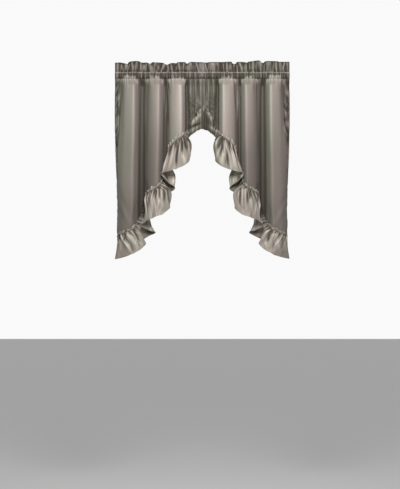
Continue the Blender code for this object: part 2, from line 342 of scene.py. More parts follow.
# Creases laid on, in millimetres from the centre and below the top edge:
# from one point to another, how wide, and how high toward the room (negative is a trough).
PANEL_CREASES = {
    "left": (
        (170, 84, 158, 300, 5, -5), (178, 82, 176, 210, 4, 4), (164, 84, 150, 150, 3, -3),
        (52, 82, 60, 165, 3, 3.5), (5, 78, 9, 112, 4, 4), (22, 80, 18, 150, 6, -3),
        (38, 84, 40, 150, 5, 1.5), (72, 84, 70, 210, 5, -4), (30, 165, 6, 205, 5, 3),
        (50, 190, 36, 215, 4, -3), (62, 170, 44, 196, 4, 2.5),
        (392, 570, 348, 690, 10, -1.2), (398, 640, 360, 740, 10, -1.6), (376, 660, 330, 756, 10, 1.2),
        (304, 640, 326, 752, 9, -1.2), (322, 680, 340, 774, 9, 1.2), (262, 540, 250, 640, 8, -2),
        (388, 110, 392, 700, 3, 3), (384, 130, 398, 165, 4, 2), (398, 200, 386, 240, 4, -2),
    ),
    "right": (
        (150, 84, 160, 240, 4, -5), (166, 82, 164, 260, 4, 4), (178, 84, 176, 180, 3, -3),
        (52, 82, 50, 130, 2.5, 4), (30, 85, 38, 150, 8, 2.5), (15, 85, 18, 150, 4, -3),
        (70, 84, 68, 210, 6, -4), (60, 100, 62, 160, 4, 1.5), (22, 150, 40, 186, 5, 2.5),
        (44, 190, 60, 226, 4, -3), (12, 170, 26, 206, 5, 2),
        (394, 590, 356, 690, 10, -1.2), (398, 660, 362, 750, 10, -1.4), (376, 660, 332, 760, 10, 1.2),
        (302, 640, 326, 760, 9, -1.2), (322, 690, 340, 778, 9, 1), (262, 550, 250, 640, 8, -2),
        (380, 220, 396, 250, 4, 4), (378, 260, 396, 300, 4, -4), (380, 300, 394, 350, 4, 4),
        (388, 110, 392, 700, 3, 2), (394, 180, 382, 212, 4, -3),
    ),
}


# Creases that run on from the panel over the ruffle beside the centre
CENTRE_CREASES = {
    "left": (
        (3, 238, 52, 290, 9, 4.5), (10, 297, 62, 326, 8, 3), (6, 284, 54, 303, 4, -2.5),
        (29, 204, 31, 232, 4, 4), (58, 236, 64, 300, 7, -4), (40, 232, 16, 262, 4, -3),
        (2, 214, 16, 232, 4, 3),
    ),
    "right": (
        (8, 236, 16, 304, 10, -5), (30, 297, 72, 328, 8, 3.5), (28, 238, 60, 284, 8, 2),
        (4, 204, 8, 228, 4, 4), (29, 230, 36, 248, 4, 3.5), (50, 262, 58, 290, 4, -3),
        (40, 214, 62, 236, 5, -3),
    ),
}


def strokes(table, out, drop):
    """Sum of a table's tapered strokes over the points (out, drop)."""
    total = np.zeros_like(out)
    for *sizes, amount in table:
        x1, y1, x2, y2, width = (v * MM for v in sizes)
        length = math.hypot(x2 - x1, y2 - y1)
        dx, dy = (x2 - x1) / length, (y2 - y1) / length
        along = ((out - x1) * dx + (drop - y1) * dy) / length
        across = (out - x1) * dy - (drop - y1) * dx
        near = np.clip(along, 0, 1)
        taper = np.sin(np.pi * np.clip(0.08 + 0.84 * near, 0, 1))
        beyond = (along - near) * length
        total += amount * taper * np.exp(-((across / width) ** 2) - (beyond / (2 * width)) ** 2)
    return total


# Which of the satin's two casts shows at places in the fold table, from 0, cool, to 1, warm
CAST_PLACES = (5, 8, 18, 23, 28, 34)
CASTS = (0.45, 0.66, 0.72, 0.6, 0.5, 0.55)
LOW_CAST = 0.3
RUFFLE_CASTS = (0.35, 0.66, 0.68, 0.68, 0.68, 0.68)
# Painted shade: how much darker the cloth is at places in the fold table, and low on the panel
SHADE_PLACES = (7, 8, 14, 17, 19.5, 21.5, 22.6, 23.6, 24.1, 25, 26, 31, 32, 33, 34)
COLUMN_SHADES = (0, -0.2, -0.14, 0.15, 0.19, 0.05, -0.3, 0.02, 0.1, -0.2, -0.02, 0, 0.05, -0.25, -0.3)
LOW_PLACES = (15, 17, 24, 26, 28.5, 31, 34)
LOW_SHADES = (0.2, 0.36, 0.36, 0.32, 0.32, 0.1, 0.0)
LOW_SHADE = 0.2
# Painted highlight: how much lighter the columns are at the pocket, at the places where their light
# begins
CROWN_PLACES = (8, 15, 17, 18.6, 20.6, 22.4, 26, 28, 31, 34)
CROWN_LIGHTS = (0.4, 0.4, 0, 0.4, 0.4, 0, 0.3, 0.65, 0.65, 0.2)
# Rows of the seam allowance: past the seam, and behind it
ALLOWANCE = ((2.5 * MM, 0.8 * MM), (5.0 * MM, 2.0 * MM))
COARSE = 3


def panel_grid(side):
    """Points of a half panel with its gathers and creases, the height of those alone, its painted shade
    and its tint.
    """
    seed = GATHER_SEEDS[side]
    u, s = spaced(PANEL_COLUMNS)
    edge = fold_value("edge", u)
    t = np.linspace(0, 1, PANEL_ROWS)
    shares = 0.55 * t + 0.45 * t**2.6
    drop = PANEL_TOP + (edge[None, :] - PANEL_TOP) * shares[:, None]
    grid = np.stack([panel_points(u, row) for row in drop])
    below = drop - PANEL_TOP
    out = grid[..., 0]
    settled = ease(below / SETTLE_LENGTH)
    reach = (16 + 10 * wander(s, seed + 3, 20 * MM)) * MM
    long_reach = (60 + 40 * wander(s, seed + 4, 30 * MM)) * MM
    height = 3.4 * MM * gathers(s, seed, 17 * MM) * np.exp(-((below / reach) ** 1.3))
    height += 1.8 * MM * gathers(s, seed + 7, 34 * MM) * np.exp(-((below / long_reach) ** 1.5))
    height += 0.5 * MM * rumple(s[None, :] + 0 * drop, drop, seed + 9, 26 * MM, 260 * MM)
    centre = 1 - ease((out - 60 * MM) / (25 * MM))
    low_centre = centre * ease((drop - 125 * MM) / (50 * MM))
    leaning = rumple(out + 0.5 * drop, drop - 0.4 * out, seed + 10, 9 * MM, 13 * MM)
    height += 1.2 * MM * low_centre * leaning
    height += 1.2 * MM * low_centre * rumple(out - 0.4 * drop, drop, seed + 13, 5 * MM, 7 * MM)
    height += 1.4 * MM * gathers(s, seed + 30, 9 * MM) * np.exp(-((below / (12 * MM)) ** 2)) * settled
    strip = ease((u - 31.6) / 1.2)
    crumple = rumple(out - 0.3 * drop, drop, seed + 15, 8 * MM, 24 * MM) * strip
    height += 2.2 * MM * crumple * settled
    over_seam = edge[None, :] - drop
    pull = np.exp(-((over_seam / (26 * MM)) ** 1.5))
    height += 0.9 * MM * pull * gathers(s, seed + 12, 17 * MM)
    height -= MM * strokes(PANEL_CREASES[side], out, drop) * settled
    height -= MM * strokes(CENTRE_CREASES[side], out, drop)
    height *= calm_centre(out) * (1 - (0.3 + 0.25 * ease((below - 12 * MM) / (30 * MM))) * centre)
    normals = grid_normals(grid)
    # Painted tint of the light: cloth turned one way is cooler and the other warmer; the tint also
    # varies by place in the folds and is warmer low down.
    facing = np.clip(-2.2 * normals[..., 0], -1, 1) * (1 - 0.7 * centre)
    tint_with_painted_light = np.interp(u, CAST_PLACES, CASTS) + 0.4 * facing * (-1 if side == "left" else 1)
    tint_with_painted_light = tint_with_painted_light + LOW_CAST * ease((drop - 330 * MM) / (260 * MM))
    normals[..., 2] *= settled
    grid = grid + unit(normals) * height[..., None]
    # Painted shade: darker in the hollows between columns, at the centre and low down, lighter or darker
    # by place in the folds, with a painted highlight on the columns' tops under the pocket; the side
    # strip is darker where its crumples sink back.
    painted_shade = hollow_of(fold_depth(u[None, :], drop))
    shade = painted_shade * (1 - 0.22 * centre) + 0.18 * centre + 0.3 * low_centre
    shade = shade + np.interp(u, SHADE_PLACES, COLUMN_SHADES)
    crown = crown_share(u) * np.interp(u, CROWN_PLACES, CROWN_LIGHTS)
    shade = shade - crown * np.exp(-((below / (22 * MM)) ** 2))
    shade = shade + np.interp(u, LOW_PLACES, LOW_SHADES) * ease((drop - 150 * MM) / (300 * MM))
    shade = shade + 0.4 * crumple
    shade = shade + LOW_SHADE * ease((drop - 560 * MM) / (180 * MM)) * np.exp(-(((u - 27.5) / 1.6) ** 2))
    return *with_allowance(meeting(grid, side), (height, shade, tint_with_painted_light), u, side), s, drop


def with_allowance(grid, layers, u, side):
    """The panel's rows with a seam allowance that lies behind the ruffle's root."""
    _, seam, away, back = seam_frame()
    rows = []
    for reach, behind in ALLOWANCE:
        row = smooth_through(seam + away * reach + back * behind, u * COARSE)
        rows.append(meeting(row, side))
    more = [np.concatenate([values, np.repeat(values[-1:], len(rows), axis=0)]) for values in layers]
    return np.concatenate([grid, np.stack(rows)]), *more


def softened(vectors):
    """Vectors along a row, each blended with its neighbours."""
    for _ in range(SOFTENING):
        padded = np.concatenate([vectors[:1], vectors, vectors[-1:]])
        vectors = (padded[:-2] + 2 * vectors + padded[2:]) / 4
    return vectors


def seam_frame():
    """The seam with the way the ruffle leaves it and the panel's back, at coarse places."""
    last = len(STATIONS) - 1
    u = np.linspace(0, last, last * COARSE + 1)
    edge = fold_value("edge", u)
    seam = panel_points(u, edge)
    down = unit(seam - panel_points(u, edge - 4 * MM))
    along = unit(np.gradient(seam, axis=0))
    back = unit(np.cross(along, down))
    away = unit(np.cross(back, along))
    return u, seam, away, back


def ruffle_base(u, shares):
    """Points of the ruffle without its pleats, and the seam's back side, at places u."""
    cu, seam, away, back = seam_frame()
    root = seam + away * SEAM_GAP
    hem = np.stack(
        [
            fold_value("hem_out", cu),
            fold_value("hem_depth", cu),
            -fold_value("hem_drop", cu),
        ],
        axis=-1,
    )
    span = np.linalg.norm(hem - root, axis=-1, keepdims=True)
    leave = softened(away * AWAY_PULL - back * PUFF) * span
    leave[:, 0] *= ease(seam[:, 0] / CENTRE_REACH)
    arrive = (hem - root) * HEM_PULL
    belly = fold_value("belly", cu)
    rows = []
    for r in shares:
        point = (
            root * (2 * r**3 - 3 * r**2 + 1)
            + leave * (r**3 - 2 * r**2 + r)
            + hem * (3 * r**2 - 2 * r**3)
            + arrive * (r**3 - r**2)
        )
        point[:, 0] -= belly * r * (1 - r) ** 2 / BELLY_PEAK
        rows.append(smooth_through(point, u * COARSE))
    return np.stack(rows), smooth_through(back, u * COARSE)


# The ruffle's gathers: height, seed, pitch, how far down they reach, and how sharply they end
RUFFLE_GATHERS = (
    (3.0 * MM, 0, 10 * MM, 0.28, 1.3), (1.8 * MM, 16, 6 * MM, 0.12, 2), (3.0 * MM, 5, 19 * MM, 0.5, 2),
)

# The ruffle's main pleats, along the seam in stations, with their half width in
# stations, height in millimetres away from the room, and where down the ruffle
# they begin and end.
PLEATS = {
    "left": (
        (8.2, 0.4, 4, 0, 0.7), (8.8, 0.15, 3, 0, 0.6), (9.3, 0.35, -4.5, 0.2, 1),
        (9.8, 0.14, 3.5, 0, 1), (10.3, 0.28, -3.5, 0, 1), (10.8, 0.14, 3.5, 0, 0.75),
        (11.2, 0.25, -3, 0, 0.9), (11.6, 0.13, 3.2, 0, 0.9), (12.1, 0.25, -2.5, 0, 1),
        (12.5, 0.12, 2.6, 0, 0.6), (13.2, 0.25, -2.5, 0, 1), (14.4, 0.3, -4, 0.2, 1),
        (15.2, 0.3, 5, 0.3, 1), (15.9, 0.3, -3, 0.2, 1),
        (17.5, 0.3, 4, 0, 0.7), (18.1, 0.3, -4, 0, 1), (18.6, 0.13, 3.6, 0, 0.8),
        (19.1, 0.3, -5.5, 0, 0.85), (19.6, 0.15, 4.4, 0, 1), (20.2, 0.28, -3.5, 0, 0.8),
        (20.7, 0.13, 3, 0, 0.5), (21.2, 0.26, -3, 0, 1), (21.7, 0.13, 3, 0, 0.8),
        (22.4, 0.3, -2.5, 0, 1), (23.0, 0.13, 2.5, 0, 0.5), (24.0, 0.35, -4, 0.2, 1),
        (25.0, 0.3, 4, 0.3, 1), (26.0, 0.3, -3, 0.2, 1),
        (27.1, 0.25, 3.5, 0, 0.8), (27.7, 0.3, -4.5, 0, 1), (28.3, 0.18, 4.5, 0, 0.9),
        (28.9, 0.3, -5, 0, 1), (29.5, 0.16, 4, 0, 0.7), (30.1, 0.3, -4, 0, 0.8),
        (30.6, 0.13, 3, 0, 0.6), (31.3, 0.3, -3, 0, 0.7), (32.0, 0.14, 2.6, 0, 0.5),
        (32.9, 0.3, -2, 0, 0.6),
    ),
}
PLEATS["right"] = tuple(
    (place + 0.12 * math.sin(7 * k), half, tall * (1 + 0.15 * math.cos(5 * k)), begin, end)
    for k, (place, half, tall, begin, end) in enumerate(PLEATS["left"])
)
# Painted shade: how much darker the ruffle is at places in the fold table
FAN_PLACES = (0, 5, 8, 9, 14, 17, 24, 27, 34)
FAN_SHADES = (0.76, 0.86, 0.54, 0.47, 0.3, 0.23, 0.17, -0.12, -0.14)
# How far the pleats have drifted outward at the hem, in stations, at places along it
DRIFT_PLACES = (8, 9.2, 10.4, 11.2, 12.2, 13.0, 13.8, 17, 18.2, 19.2, 20.3, 21.2, 22.1, 23, 23.8)
DRIFTS = (0, 0.6, 0.9, 1.05, 1.15, 0.5, 0, 0, 0.6, 1.3, 1.9, 1.5, 1.0, 0.35, 0)
# Light and shade laid on the fans: the columns are those of the creases,
# with the last one how much darker the cloth is there.
FAN_STROKES = {
    "left": (
        (108, 358, 58, 404, 13, 0.5), (118, 424, 116, 480, 5, 0.6), (95, 444, 74, 474, 9, -0.35),
        (150, 420, 178, 510, 8, -0.3), (140, 512, 134, 580, 7, -0.6), (176, 566, 142, 598, 9, 0.45),
        (173, 526, 164, 540, 6, 0.7), (190, 512, 172, 540, 4, -0.6),
        (188, 612, 186, 668, 6, -0.5), (168, 600, 150, 664, 7, 0.5), (204, 620, 206, 660, 5, 0.3),
        (268, 735, 240, 775, 6, -0.3), (262, 790, 226, 808, 7, 0.3),
        (345, 806, 330, 842, 6, -0.5), (312, 846, 300, 872, 6, -0.4), (318, 808, 300, 846, 5, 0.5),
        (388, 872, 350, 908, 16, 0.3),
    ),
    "right": (
        (108, 358, 58, 404, 13, 0.5), (112, 430, 106, 486, 5, 0.6), (92, 440, 84, 478, 9, -0.35),
        (130, 400, 176, 500, 8, -0.4), (146, 512, 138, 580, 7, -0.5), (176, 566, 142, 598, 9, 0.4),
        (176, 530, 168, 542, 6, 0.6), (190, 512, 178, 540, 4, -0.6),
        (190, 600, 192, 668, 5, -0.6), (204, 600, 206, 668, 5, 0.4), (176, 600, 164, 660, 7, 0.4),
        (240, 650, 262, 712, 7, -0.35), (268, 735, 240, 775, 6, -0.3), (262, 790, 226, 808, 7, 0.3),
        (336, 800, 326, 836, 6, -0.5), (312, 800, 296, 842, 5, 0.5), (300, 842, 290, 872, 6, -0.4),
        (388, 872, 350, 908, 16, 0.3),
    ),
}


# The main pleats of the fans, laid on as the creases are, fan by fan from the centre
FAN_CREASES = {
    "left": (
        (159, 426, 185, 507, 8, 4), (129, 397, 151, 490, 6, 4), (102, 380, 105, 438, 3.5, 3),
        (88, 432, 75, 481, 8, 4), (65, 380, 54, 455, 3.5, 2.5), (141, 391, 172, 473, 4, -4),
        (113, 380, 122, 484, 5, -6), (94, 371, 90, 432, 4, -4), (76, 365, 64, 426, 6, -3.5),
        (149, 377, 164, 415, 3, -3), (189, 516, 172, 539, 3, 4), (172, 519, 158, 548, 4.5, -5),
        (137, 510, 135, 571, 7, 4), (175, 548, 146, 594, 7, -2), (259, 617, 273, 687, 6, 4),
        (227, 606, 236, 710, 8, 3.5), (188, 588, 186, 669, 5, 6), (203, 640, 205, 698, 4.5, 3),
        (163, 617, 155, 669, 3.5, 2), (244, 612, 254, 693, 3.5, -4),
        (215, 594, 215, 664, 3.5, -4), (198, 583, 196, 640, 3, -5), (176, 588, 172, 664, 4, -5),
        (159, 594, 151, 664, 5, -3), (276, 722, 276, 762, 3.5, 3), (239, 727, 234, 774, 7, 3.5),
        (259, 733, 253, 768, 4, -3), (270, 777, 221, 797, 5, -2), (343, 774, 344, 826, 5, 5),
        (332, 774, 294, 837, 4.5, 5), (308, 837, 302, 875, 5, 4), (375, 820, 383, 890, 9, 3),
        (288, 808, 273, 849, 5, 3), (354, 837, 331, 887, 7, 3), (317, 779, 290, 832, 4, -5),
        (354, 791, 366, 837, 3.5, -4), (299, 826, 282, 866, 4, -4), (383, 808, 392, 837, 3.5, -3),
        (331, 837, 317, 884, 4, -3),
    ),
    "right": (
        (103, 403, 88, 478, 8, 4), (105, 368, 100, 432, 3, 4), (134, 415, 158, 496, 9, 4),
        (71, 420, 62, 461, 4, 2.5), (112, 403, 122, 496, 5, -6), (97, 380, 76, 449, 3.5, -4),
        (82, 363, 62, 415, 7, -3.5), (129, 386, 175, 478, 3.5, -3.5), (189, 513, 181, 539, 3, 4),
        (178, 516, 163, 548, 4, -4), (155, 507, 158, 548, 4, 3), (141, 507, 139, 559, 3.5, -4),
        (131, 536, 131, 588, 4, 3), (181, 548, 155, 583, 5, -3), (186, 583, 184, 664, 5, 6),
        (198, 594, 199, 693, 3, 5), (192, 588, 192, 687, 2.5, -5), (207, 600, 213, 664, 5, -5),
        (166, 600, 163, 664, 4, 3), (176, 588, 173, 664, 3.5, -4), (227, 629, 233, 698, 7, 4),
        (242, 612, 262, 675, 3.5, -4), (259, 646, 273, 710, 4, 4), (221, 606, 220, 640, 3, -4),
        (276, 722, 273, 762, 3.5, 3), (236, 733, 233, 779, 6, 3), (253, 733, 250, 774, 4, -3.5),
        (262, 777, 227, 797, 5, -2), (337, 768, 323, 820, 5, 5), (325, 808, 314, 855, 4, 4),
        (314, 785, 299, 837, 5, -6), (297, 779, 279, 832, 5, 4), (288, 837, 297, 872, 4, 3),
        (349, 820, 360, 884, 8, 3), (331, 837, 325, 872, 3.5, -3), (378, 820, 389, 884, 6, 2.5),
        (366, 808, 375, 837, 3.5, -3.5), (273, 797, 265, 832, 3.5, -3),
    ),
}
PLEAT_SHARE = 0.35


def drifted(u, shares):
    """Where along the seam the pleats start that pass places u, for each share down."""
    return u - np.interp(u, DRIFT_PLACES, DRIFTS) * shares[:, None] ** 0.8


def pleats(table, u, shares):
    """Height of the ruffle's main pleats over places u and shares down, in metres."""
    height = np.zeros_like(u)
    for place, half, tall, begin, end in table:
        widen = 0.7 + 0.9 * shares[:, None]
        lean = 0.12 * (np.sin(3.2 * shares[:, None] + 7 * place) - math.sin(7 * place))
        across = np.abs(u - place - lean) / (half * widen)
        rise = ease((shares - begin) / 0.15 + 0.3) * (1 - ease((shares - end + 0.25) / 0.35) * 0.8)
        height += 1.7 * tall * MM * rise[:, None] * np.exp(-(across**1.25))
    return height


def ruffle_grid(side):
    """Points of a half ruffle, from the top of its own narrow heading to its hem."""
    seed = RUFFLE_SEEDS[side]
    u, _ = spaced(RUFFLE_COLUMNS)
    shares = np.linspace(0, 1, RUFFLE_ROWS)
    base, back = ruffle_base(u, shares)
    run = np.concatenate([[0.0], np.cumsum(np.linalg.norm(np.diff(base[0], axis=0), axis=1))])
    start = drifted(u, shares)
    height = pleats(PLEATS[side], start, shares) * PLEAT_SHARE
    down = shares[:, None]
    for tall, more, pitch, depth, power in RUFFLE_GATHERS:
        reach = depth * (1 + 0.6 * wander(run, seed + more + 1, 2 * pitch))
        waves = np.interp(start, u, gathers(run, seed + more, pitch))
        height += tall * waves * np.exp(-((down / reach) ** power))
    length = down * RUFFLE_LENGTH
    height += 0.8 * MM * rumple(run[None, :] + 0 * length, length + 0 * run, seed + 8, 16 * MM, 30 * MM)
    deep_seam = np.clip(hollow_at(u), 0, 1) * np.exp(-((down / 0.15) ** 2))
    near_centre = 1 - ease((base[0][:, 0] - 40 * MM) / (40 * MM))
    height *= calm_centre(base[0][:, 0]) * (1 - 0.75 * deep_seam) * (1 - 0.9 * near_centre)
    across, below = base[..., 0], -base[..., 2]
    height -= MM * strokes(CENTRE_CREASES[side] + FAN_CREASES[side], across, below) * calm_centre(across)
    body = base + grid_normals(base) * height[..., None]
    body[..., 2] += 1.6 * MM * down**4 * wander(run, seed + 11, 14 * MM)
    # From here the height only sets the ridges' painted light and shade, stronger near the seam.
    height = height * (1 + 0.8 * np.exp(-((down / 0.3) ** 2)))
    edge = fold_value("edge", u)
    centre = 1 - ease((base[0][:, 0] - 30 * MM) / (50 * MM))
    strip = []
    strip_height = []
    for k in range(HEADING_STRIP_ROWS):
        share = 1 - k / HEADING_STRIP_ROWS
        d = RUFFLE_HEADING * share * (1 - 0.85 * np.clip(hollow_at(u), 0, 1))
        behind = panel_points(u, edge - d * (1 + 0.45 * wander(run, seed + 2, 12 * MM)))
        crumple = gathers(run, seed, 10 * MM) * (1.0 + 0.8 * share)
        crumple += gathers(run, seed + 5, 19 * MM) * (1.2 + 2.0 * share)
        crumple += 0.9 * rumple(run, d, seed + 6, 7 * MM, 4 * MM)
        forward = (2.0 + 2.6 * math.sin(math.pi * min(1.0, 0.15 + 0.6 * share)) + crumple) * MM
        forward = forward * (1 - 0.6 * centre) * (1 - 0.6 * np.clip(hollow_at(u), 0, 1))
        strip.append(behind - back * np.maximum(forward, 1.2 * MM)[:, None])
        # These heights only set the strip's painted light and shade.
        strip_height.append(-crumple * MM * (1 - 0.7 * centre))
    grid = np.concatenate([np.stack(strip), body])
    height = np.concatenate([np.stack(strip_height), height])
    above = 1 - np.arange(HEADING_STRIP_ROWS) / HEADING_STRIP_ROWS
    v = np.concatenate([-RUFFLE_HEADING * above, shares * RUFFLE_LENGTH])
    # Painted shade: darker where the cloth lies further back, under the seam's gathers, by place in the
    # folds and at the centre, plus the fans' painted strokes of light and shade; the heading strip is
    # darker in the hollows and varies at random.
    deep = 0.36 * ease((body[..., 1] + 6 * MM) / (26 * MM))
    foot = 0.15 * (1 + 0.5 * wander(run, seed + 17, 8 * MM))
    under = 0.6 * np.exp(-((down / foot) ** 1.5)) + strokes(FAN_STROKES[side], across, below)
    under = under + np.interp(u, FAN_PLACES, FAN_SHADES) + 0.3 * (1 - calm_centre(base[0][:, 0]))
    under = under + (0.2 * centre if side == "right" else 0)
    strip_shade = 0.95 * np.clip(hollow_at(u), 0, 1) * (1 - near_centre) + 0.85 * near_centre
    strip_shade += 0.22 + 0.35 * wander(run, seed + 18, 9 * MM)
    strip_painted_shade = np.tile(strip_shade, (HEADING_STRIP_ROWS, 1))
    painted_shade = np.concatenate([strip_painted_shade, np.clip(deep + under, 0, 1.1)])
    return meeting(grid, side), height, painted_shade, u, run, v


def with_hem(grid, height, painted_shade, rows):
    """The grid with its last rows turned up behind it as a hem."""
    normals = grid_normals(grid)
    fold = grid[-1] + normals[-1] * HEM_LAYER / 2 + unit(grid[-1] - grid[-2]) * HEM_LAYER / 2
    turned = [fold] + [grid[-1 - k] + normals[-1 - k] * HEM_LAYER for k in range(1, rows)]
    shades = [np.concatenate([values, values[::-1][:rows]]) for values in (height, painted_shade)]
    return np.concatenate([grid, np.stack(turned)]), *shades


def header_rise(side, out):
    """Height of the header's top edge at a distance from the centre."""
    table = np.array(HEADER_TOPS[side]) * MM
    return np.interp(out, table[:, 0], table[:, 1])


# The header's folds: distance from the centre at the foot and at the top, half width
# and height toward the room in millimetres, and the shares between which they stand.
HEADER_FOLDS = {
    "left": (
        (6, 12, 6, 4, 0, 1), (15, 30, 5, 6, 0, 1), (61, 61, 15, 3.5, 0, 1), (88, 86, 5, 5, 0, 1),
        (102, 110, 8, 5.5, 0, 1), (122, 120, 4, 4, 0, 0.6), (140, 145, 6, 5, 0, 1),
        (156, 160, 5, 7, 0, 1), (191, 173, 6, 8, 0, 1), (206, 208, 6, 4, 0, 0.7),
        (221, 220, 5, 5, 0, 1), (238, 243, 8, 6, 0, 1), (258, 262, 6, 3, 0, 1),
        (273, 271, 6, 4, 0, 0.8), (287, 284, 5, 6.5, 0, 1), (308, 304, 8, 5, 0, 1),
        (322, 326, 8, 4.5, 0.2, 1), (345, 336, 5, 4, 0, 0.8), (360, 352, 9, 5, 0, 1),
        (377, 374, 6, 5.5, 0, 0.9), (394, 392, 8, 4.5, 0, 1),
    ),
    "right": (
        (8, 4, 6, 4, 0, 1), (24, 10, 5, 5, 0, 1), (45, 47, 18, 3.5, 0, 1), (76, 70, 8, 3, 0, 1),
        (98, 97, 4, 4, 0, 0.8), (114, 115, 6, 6.5, 0, 1), (129, 130, 7, 3.5, 0, 1),
        (148, 146, 5, 3, 0, 1), (163, 160, 4, 5, 0, 0.7), (187, 172, 6, 8, 0, 1),
        (203, 203, 6, 5.5, 0, 1), (219, 218, 4, 4.5, 0, 1), (234, 237, 6, 6, 0, 1),
        (250, 252, 5, 3.5, 0, 1), (272, 270, 9, 4.5, 0, 1), (286, 287, 4, 5.5, 0, 0.8),
        (309, 307, 12, 5, 0, 1), (328, 330, 5, 3, 0, 1), (342, 341, 6, 6.5, 0, 1),
        (362, 361, 6, 6, 0, 1), (374, 381, 5, 6, 0, 1), (395, 396, 8, 4.5, 0, 1),
    ),
}
GROOVE_DEPTH = 3.4
# The stitched welt: its level, half height and how far it stands out
BEAD_LEVEL = HEADER_HEIGHT + 1.5 * MM
BEAD_SIZE = 3.5 * MM
BEAD_RISE = 3.6 * MM
# The pocket's front laps this far over the panel
POCKET_LAP = 1.0 * MM
# How far down the pocket's front the columns' painted highlight begins, at the crown places
CROWNS = (0.8, 0.8, 1.1, 0.76, 0.76, 1.1, 0.8, 0.56, 0.56, 0.9)


def header_folds(side, out, share):
    """Depth of the header's folds at a share of its height, toward the window."""
    ridge = np.zeros_like(out)
    for foot, top, width, tall, low, high in HEADER_FOLDS[side]:
        place = (foot + (top - foot) * share) * MM
        upright = ease((share - low) / 0.25 + 1) * (1 - 0.75 * ease((share - high) / 0.25 + 0.5))
        shape = np.exp(-(np.abs((out - place) / (1.1 * width * MM)) ** 1.6))
        ridge = np.maximum(ridge, tall * upright * shape)
    return (GROOVE_DEPTH - ridge) * MM


def bead(s, drop):
    """The stitched welt of cloth between header and pocket at a level, how far it stands out."""
    level = BEAD_LEVEL + 0.9 * MM * wander(s, 5, 16 * MM)
    full = 0.8 + 0.3 * wander(s, 6, 7 * MM)
    return BEAD_RISE * full * np.exp(-(((drop - level) / BEAD_SIZE) ** 2))


def header_row(side, s, out, gather, share, face):
    """One row of the header, in front (-1) or behind (1): points, fold height and painted shade."""
    seed = HEADER_SEEDS[side]
    calm = calm_centre(out)
    folds = header_folds(side, out, share) * (0.45 + 0.55 * ease(share / 0.4))
    folds += 1.5 * MM * rumple(s, s * 0 + share * 48 * MM, seed + face, 12 * MM, 22 * MM)
    folds += 0.8 * MM * gathers(s + share * 9 * MM, seed + 3, 13 * MM)
    height = (gather * 0.7 * (1 - share) ** 3 + folds) * calm
    apart = (0.6 + 1.6 * math.sin(math.pi * min(1, share * 1.02)) ** 0.5) * MM
    z = -HEADER_HEIGHT + (HEADER_HEIGHT + header_rise(side, out)) * share
    cord = bead(s, HEADER_HEIGHT * (1 - share)) * (face < 0)
    y = height + face * apart - cord
    # Painted shade: darker at the header's foot above the welt, along its top edge and a little on the
    # left half, with a painted highlight on the welt.
    rim = 0.25 * math.exp(-(((1 - share) / 0.12) ** 2))
    painted_shade = 0.63 + 0.4 * math.exp(-((share / 0.2) ** 2)) + rim + (0.07 if side == "left" else 0) + 0 * s
    return np.stack([out, y, z], axis=-1), height - cord, painted_shade - 200 * cord


def pocket_row(side, s, u, out, gather, q, face):
    """One row of the pocket, in front (-1) or behind (1): points, fold height and painted shade."""
    seed = POCKET_SEEDS[side]
    calm = calm_centre(out)
    drop = HEADER_HEIGHT + (POCKET_HEIGHT + POCKET_LAP * (face < 0)) * q + 0 * s
    near = abs(2 * q - 1)
    bulge = (POCKET_DEPTH / 2 - 1 * MM) * (1 - near**2.6) ** (1 / 2.6) * (1.08 - 0.36 * q)
    if face < 0:
        bulge = (bulge**4 + (held_forward(u) * ease(2 * q - 0.6)) ** 4) ** 0.25
    puff = 1.9 * MM * gathers(s, seed, 9 * MM) * (0.6 + 0.4 * near**2) * (1 - q**6)
    height = (gather * (0.75 + 0.25 * near**4) + puff) * calm
    cord = bead(s, drop) * (face < 0)
    proud = 1 - np.clip(hollow_at(u), 0, 1)
    y = height * (0.7 + 0.3 * near**4) + face * (bulge + 0.6 * MM) - cord
    y -= (2.0 * proud * (1 - q**4) + 0.8) * MM * ease(2 * q - 0.6) * (face < 0)
    z = -drop
    jag = 0.2 * wander(s, seed + 20, 5 * MM) + 0.14 * wander(s, seed + 21, 2.5 * MM)
    # Painted highlight on the pocket's front over the columns and on the welt, and painted shade in a
    # band under the welt.
    light = crown_share(u) * ease((q - np.interp(u, CROWN_PLACES, CROWNS) + jag) / 0.28 + 0.3)
    painted_shade = 0.85 + 0.2 * math.exp(-(((q - 0.27) / 0.15) ** 2))
    painted_shade = painted_shade * (1 - light) - 0.4 * light
    return np.stack([out, y, z], axis=-1), height - cord, painted_shade - 230 * cord


def heading_grid(side):
    """The heading's strip: up the pocket's front and the header, and down behind them."""
    seed = GATHER_SEEDS[side]
    u, s = spaced(HEADING_COLUMNS)
    out = top_layout(u)
    gather = (3.4 * gathers(s, seed, 17 * MM) + 1.8 * gathers(s, seed + 7, 34 * MM)) * MM
    header = np.linspace(0, 1, HEADER_ROWS) ** 1.3
    pocket = (1 + np.cos(np.pi * np.linspace(0, 1, POCKET_ROWS))) / 2
    rows = [pocket_row(side, s, u, out, gather, q, -1) for q in pocket]
    rows += [header_row(side, s, out, gather, share, -1) for share in header[1:]]
    rows += [header_row(side, s, out, gather, share, 1) for share in header[::-1]]
    rows += [pocket_row(side, s, u, out, gather, q, 1) for q in pocket[::-1][1:]]
    grid, heights, painted_shade = (np.stack(part) for part in zip(*rows))
    steps = np.linalg.norm(np.diff(grid, axis=0), axis=2).mean(axis=1)
    v = np.concatenate([[0.0], np.cumsum(steps)])
    return meeting(grid, side), heights, painted_shade, s, v


